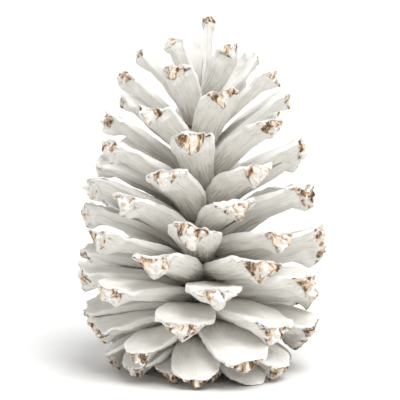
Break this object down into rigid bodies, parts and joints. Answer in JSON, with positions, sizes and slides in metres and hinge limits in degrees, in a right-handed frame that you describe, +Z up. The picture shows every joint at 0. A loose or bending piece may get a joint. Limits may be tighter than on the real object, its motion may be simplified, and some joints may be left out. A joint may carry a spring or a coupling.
{
  "type": "pine cone",
  "caption": "Open whitewashed pine cone standing on its base: a woody axis with spiral scales that arch out to thick, blunt ends of bare wood. A natural decoration.",
  "frame": {"origin": "centre of the flat stem scar that the cone stands on", "axes": "+Z up along the woody axis to the tip, -Y towards the side that the picture shows"},
  "size_m": [0.1428, 0.1451, 0.2002],
  "materials": {
    "whitewashed_wood": "chalky matte whitewash over wood, with tan bare wood at the scale ends"
  },
  "bodies": {
    "root": {"pine_cone": "whitewashed_wood"}
  },
  "joints": []
}
